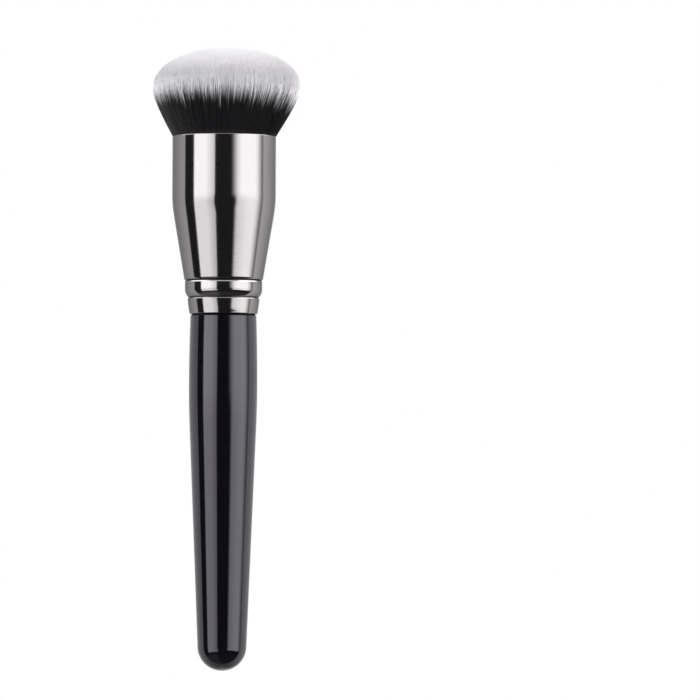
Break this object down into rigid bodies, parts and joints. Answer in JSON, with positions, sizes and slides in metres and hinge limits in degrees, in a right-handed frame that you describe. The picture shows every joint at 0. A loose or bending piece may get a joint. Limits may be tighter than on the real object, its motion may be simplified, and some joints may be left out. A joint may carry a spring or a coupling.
{
  "type": "kabuki makeup brush",
  "caption": "Long-handled kabuki face brush: dense domed tuft flaring out of a spun metal ferrule on a turned, black lacquered wooden handle.",
  "frame": {"origin": "the lowest point of the handle's rounded butt, on the brush's axis", "axes": "+Z along the brush's axis, from the butt towards the bristles; the brush is round about Z, and -Y is the side that the picture shows"},
  "size_m": [0.0398, 0.0398, 0.1677],
  "materials": {
    "lacquer": "turned hardwood under high-gloss black lacquer",
    "ferrule_metal": "spun aluminium, polished and plated in dark nickel",
    "fibre": "soft tapered synthetic fibre, dyed black at the roots and white at the tips",
    "resin": "cast epoxy, translucent amber",
    "glue": "set glue film, matt",
    "thread": "waxed binding thread"
  },
  "bodies": {
    "root": {"handle": "lacquer", "tenon_glue": "glue", "ferrule": "ferrule_metal", "root_resin": "resin", "root_tie": "thread", "bristles": "fibre"}
  },
  "joints": []
}
